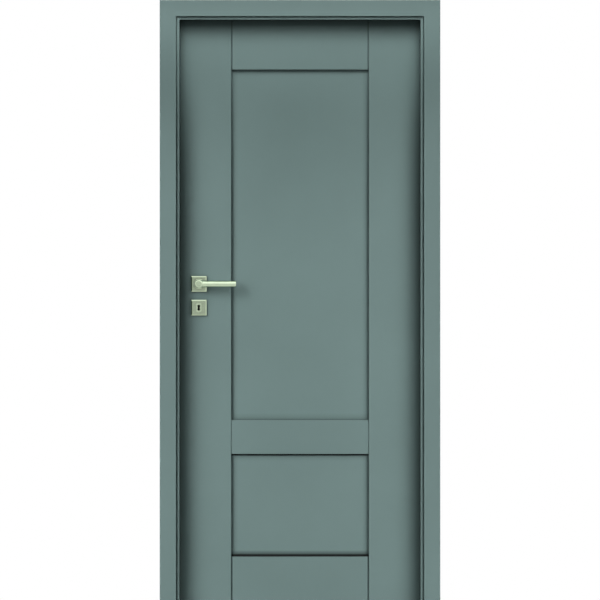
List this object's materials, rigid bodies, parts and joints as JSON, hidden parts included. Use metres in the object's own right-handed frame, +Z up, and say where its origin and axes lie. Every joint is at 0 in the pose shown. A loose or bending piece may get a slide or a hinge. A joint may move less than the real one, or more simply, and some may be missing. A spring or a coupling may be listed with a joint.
{
  "type": "door",
  "caption": "Rebated stile-and-rail interior door with recessed flat panels, hung in its cased frame on barrel hinges, with a lever handle on square roses and a mortise lock.",
  "frame": {"origin": "middle of the doorway, at floor level, half way through the wall", "axes": "+X to the right seen from the push side, +Y away from that viewer, through the wall to the pull side, +Z up"},
  "size_m": [0.98, 0.2043, 2.105],
  "materials": {
    "paint": "satin sage grey-green lacquer on board",
    "satin_nickel": "satin nickel",
    "steel": "bright zinc-plated steel",
    "zinc": "galvanised sheet",
    "seal": "soft dark grey seal",
    "nylon": "dark moulded nylon",
    "beech": "plain turned beech",
    "magnet": "dark magnet"
  },
  "bodies": {
    "frame": {"lock_jamb": "paint", "hinge_jamb": "paint", "head_jamb": "paint", "front_casing_lock_side": "paint", "front_casing_hinge_side": "paint", "front_casing_head": "paint", "back_casing_lock_side": "paint", "back_casing_hinge_side": "paint", "back_casing_head": "paint", "rebate_seal": "seal", "strike_plate": "satin_nickel", "strike_screws": "satin_nickel", "latch_magnet": "magnet", "corner_screws": "steel", "hinge_bottom_frame_knuckle": "satin_nickel", "hinge_bottom_pin": "steel", "hinge_bottom_washer": "nylon", "hinge_middle_frame_knuckle": "satin_nickel", "hinge_middle_pin": "steel", "hinge_middle_washer": "nylon", "hinge_top_frame_knuckle": "satin_nickel", "hinge_top_pin": "steel", "hinge_top_washer": "nylon"},
    "leaf": {"lock_stile": "paint", "hinge_stile": "paint", "top_rail": "paint", "middle_rail": "paint", "bottom_rail": "paint", "upper_panel": "paint", "lower_panel": "paint", "panel_strips": "seal", "rail_dowels": "beech", "stile_dowels": "beech", "hinge_bottom_leaf_knuckle": "satin_nickel", "hinge_middle_leaf_knuckle": "satin_nickel", "hinge_top_leaf_knuckle": "satin_nickel", "lock_case": "zinc", "lock_cover": "zinc", "lock_cover_screws": "steel", "lock_faceplate": "satin_nickel", "faceplate_screws": "satin_nickel", "front_rose_base": "nylon", "front_rose_cover": "satin_nickel", "back_rose_base": "nylon", "back_rose_cover": "satin_nickel", "front_key_base": "nylon", "front_key_cover": "satin_nickel", "front_key_insert": "satin_nickel", "back_key_base": "nylon", "back_key_cover": "satin_nickel", "back_key_insert": "satin_nickel", "rose_bolts": "steel"},
    "handle": {"front_lever": "satin_nickel", "back_lever": "satin_nickel", "spindle": "steel", "grub_screws": "steel", "lock_follower": "steel"},
    "latch": {"latch_bolt": "satin_nickel"},
    "bolt": {"dead_bolt": "satin_nickel"}
  },
  "joints": [
    {"name": "door_swing", "type": "hinge", "parent": "frame", "child": "leaf", "pos_m": [0.4545, 0.071, 1], "axis": [0, 0, -1], "range_deg": [0, 175]},
    {"name": "handle_turn", "type": "hinge", "parent": "leaf", "child": "handle", "pos_m": [-0.354, 0.0575, 1.113], "axis": [0, 1, 0], "range_deg": [0, 40], "stiffness_Nm_per_rad": 1.5, "springref_deg": -20.05},
    {"name": "latch_slide", "type": "slide", "parent": "leaf", "child": "latch", "axis": [-1, 0, 0], "range_m": [0, 0.011], "stiffness_N_per_m": 40, "springref_m": -0.01},
    {"name": "bolt_throw", "type": "slide", "parent": "leaf", "child": "bolt", "axis": [-1, 0, 0], "range_m": [0, 0.02]}
  ]
}
